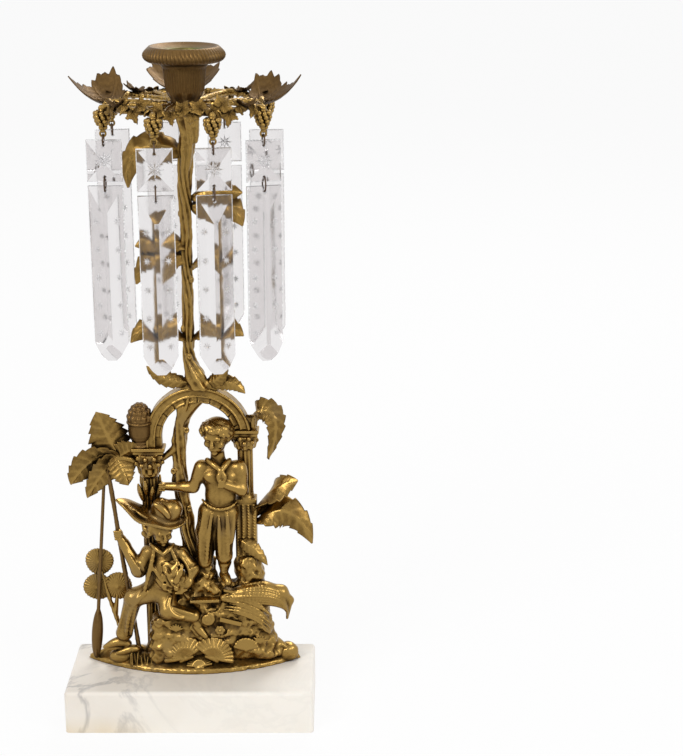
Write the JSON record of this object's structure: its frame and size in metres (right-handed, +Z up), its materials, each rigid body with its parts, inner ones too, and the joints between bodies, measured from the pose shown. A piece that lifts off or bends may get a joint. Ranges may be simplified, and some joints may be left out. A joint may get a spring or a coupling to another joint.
{
  "type": "girandole candle holder",
  "caption": "Girandole: a cast brass figure group and arch on a marble block, a bark stem with leaves, a grapevine ring hung with glass prisms, and a candle cup with a lift-out drip pan.",
  "frame": {"origin": "centre of the marble block's underside", "axes": "+Z up through the stem, +X to the viewer's right, the viewer stands at -Y"},
  "size_m": [0.15, 0.1158, 0.406],
  "materials": {
    "gilt_brass": "aged gilding, dirt in the recesses",
    "dark_brass": "browned",
    "marble": "honed white marble with grey veins",
    "steel": "dull",
    "wire": "dark iron wire",
    "glass": "clear cut glass"
  },
  "bodies": {
    "stand": {"marble_base": "marble", "base_bolts": "steel", "base_washers": "steel", "ground_plate": "gilt_brass", "rockwork": "gilt_brass", "seated_boatman": "gilt_brass", "standing_youth": "gilt_brass", "left_column": "gilt_brass", "right_column": "gilt_brass", "arch": "gilt_brass", "column_urn": "dark_brass", "capital_frond": "gilt_brass", "left_leaf_spray": "gilt_brass", "right_leaf_spray": "gilt_brass", "round_leaves": "gilt_brass", "fishing_staff": "dark_brass", "paddle": "dark_brass", "leaf_sheaf": "gilt_brass", "shells": "gilt_brass", "tree_trunk": "gilt_brass", "stem": "gilt_brass", "stem_leaves": "gilt_brass", "vine_ring": "gilt_brass", "vine_leaves": "dark_brass", "grape_clusters": "gilt_brass", "candle_cup": "dark_brass", "cup_screw": "steel"},
    "pan": {"drip_pan": "dark_brass"},
    "pendant_1": {"hook_1": "wire", "button_1": "glass"},
    "drop_1": {"link_1": "wire", "prism_1": "glass"},
    "pendant_2": {"hook_2": "wire", "button_2": "glass"},
    "drop_2": {"link_2": "wire", "prism_2": "glass"},
    "pendant_3": {"hook_3": "wire", "button_3": "glass"},
    "drop_3": {"link_3": "wire", "prism_3": "glass"},
    "pendant_4": {"hook_4": "wire", "button_4": "glass"},
    "drop_4": {"link_4": "wire", "prism_4": "glass"},
    "pendant_5": {"hook_5": "wire", "button_5": "glass"},
    "drop_5": {"link_5": "wire", "prism_5": "glass"},
    "pendant_6": {"hook_6": "wire", "button_6": "glass"},
    "drop_6": {"link_6": "wire", "prism_6": "glass"},
    "pendant_7": {"hook_7": "wire", "button_7": "glass"},
    "drop_7": {"link_7": "wire", "prism_7": "glass"},
    "pendant_8": {"hook_8": "wire", "button_8": "glass"},
    "drop_8": {"link_8": "wire", "prism_8": "glass"}
  },
  "joints": [
    {"name": "drip_pan_lift", "type": "slide", "parent": "stand", "child": "pan", "axis": [0, 0, 1], "range_m": [0, 0.03]},
    {"name": "button_swing_1", "type": "hinge", "parent": "stand", "child": "pendant_1", "pos_m": [-0.01322, 0.04698, 0.3569], "axis": [0.984, 0.1779, 0], "range_deg": [-4, 30]},
    {"name": "prism_swing_1", "type": "hinge", "parent": "pendant_1", "child": "drop_1", "pos_m": [-0.01322, 0.04698, 0.33263], "axis": [0.984, 0.1779, 0], "range_deg": [-3, 30]},
    {"name": "button_swing_2", "type": "hinge", "parent": "stand", "child": "pendant_2", "pos_m": [-0.03898, 0.02122, 0.3569], "axis": [0.967, 0.2546, 0], "range_deg": [-4, 30]},
    {"name": "prism_swing_2", "type": "hinge", "parent": "pendant_2", "child": "drop_2", "pos_m": [-0.03898, 0.02122, 0.33263], "axis": [0.967, 0.2546, 0], "range_deg": [-3, 30]},
    {"name": "button_swing_3", "type": "hinge", "parent": "stand", "child": "pendant_3", "pos_m": [-0.03898, -0.01522, 0.3569], "axis": [-0.9998, -0.0218, 0], "range_deg": [-4, 30]},
    {"name": "prism_swing_3", "type": "hinge", "parent": "pendant_3", "child": "drop_3", "pos_m": [-0.03898, -0.01522, 0.33263], "axis": [-0.9998, -0.0218, 0], "range_deg": [-3, 30]},
    {"name": "button_swing_4", "type": "hinge", "parent": "stand", "child": "pendant_4", "pos_m": [-0.00812, -0.04276, 0.3569], "axis": [-0.9938, -0.1115, 0], "range_deg": [-4, 30]},
    {"name": "prism_swing_4", "type": "hinge", "parent": "pendant_4", "child": "drop_4", "pos_m": [-0.00812, -0.04276, 0.33263], "axis": [-0.9938, -0.1115, 0], "range_deg": [-3, 30]},
    {"name": "button_swing_5", "type": "hinge", "parent": "stand", "child": "pendant_5", "pos_m": [0.02322, -0.04098, 0.3569], "axis": [-0.984, -0.1779, 0], "range_deg": [-4, 30]},
    {"name": "prism_swing_5", "type": "hinge", "parent": "pendant_5", "child": "drop_5", "pos_m": [0.02322, -0.04098, 0.33263], "axis": [-0.984, -0.1779, 0], "range_deg": [-3, 30]},
    {"name": "button_swing_6", "type": "hinge", "parent": "stand", "child": "pendant_6", "pos_m": [0.04898, -0.01522, 0.3569], "axis": [-0.967, -0.2546, 0], "range_deg": [-4, 30]},
    {"name": "prism_swing_6", "type": "hinge", "parent": "pendant_6", "child": "drop_6", "pos_m": [0.04898, -0.01522, 0.33263], "axis": [-0.967, -0.2546, 0], "range_deg": [-3, 30]},
    {"name": "button_swing_7", "type": "hinge", "parent": "stand", "child": "pendant_7", "pos_m": [0.04898, 0.02122, 0.3569], "axis": [0.9998, 0.0218, 0], "range_deg": [-4, 30]},
    {"name": "prism_swing_7", "type": "hinge", "parent": "pendant_7", "child": "drop_7", "pos_m": [0.04898, 0.02122, 0.33263], "axis": [0.9998, 0.0218, 0], "range_deg": [-3, 30]},
    {"name": "button_swing_8", "type": "hinge", "parent": "stand", "child": "pendant_8", "pos_m": [0.02322, 0.04698, 0.3569], "axis": [0.995, 0.1002, 0], "range_deg": [-4, 30]},
    {"name": "prism_swing_8", "type": "hinge", "parent": "pendant_8", "child": "drop_8", "pos_m": [0.02322, 0.04698, 0.33263], "axis": [0.995, 0.1002, 0], "range_deg": [-3, 30]}
  ]
}
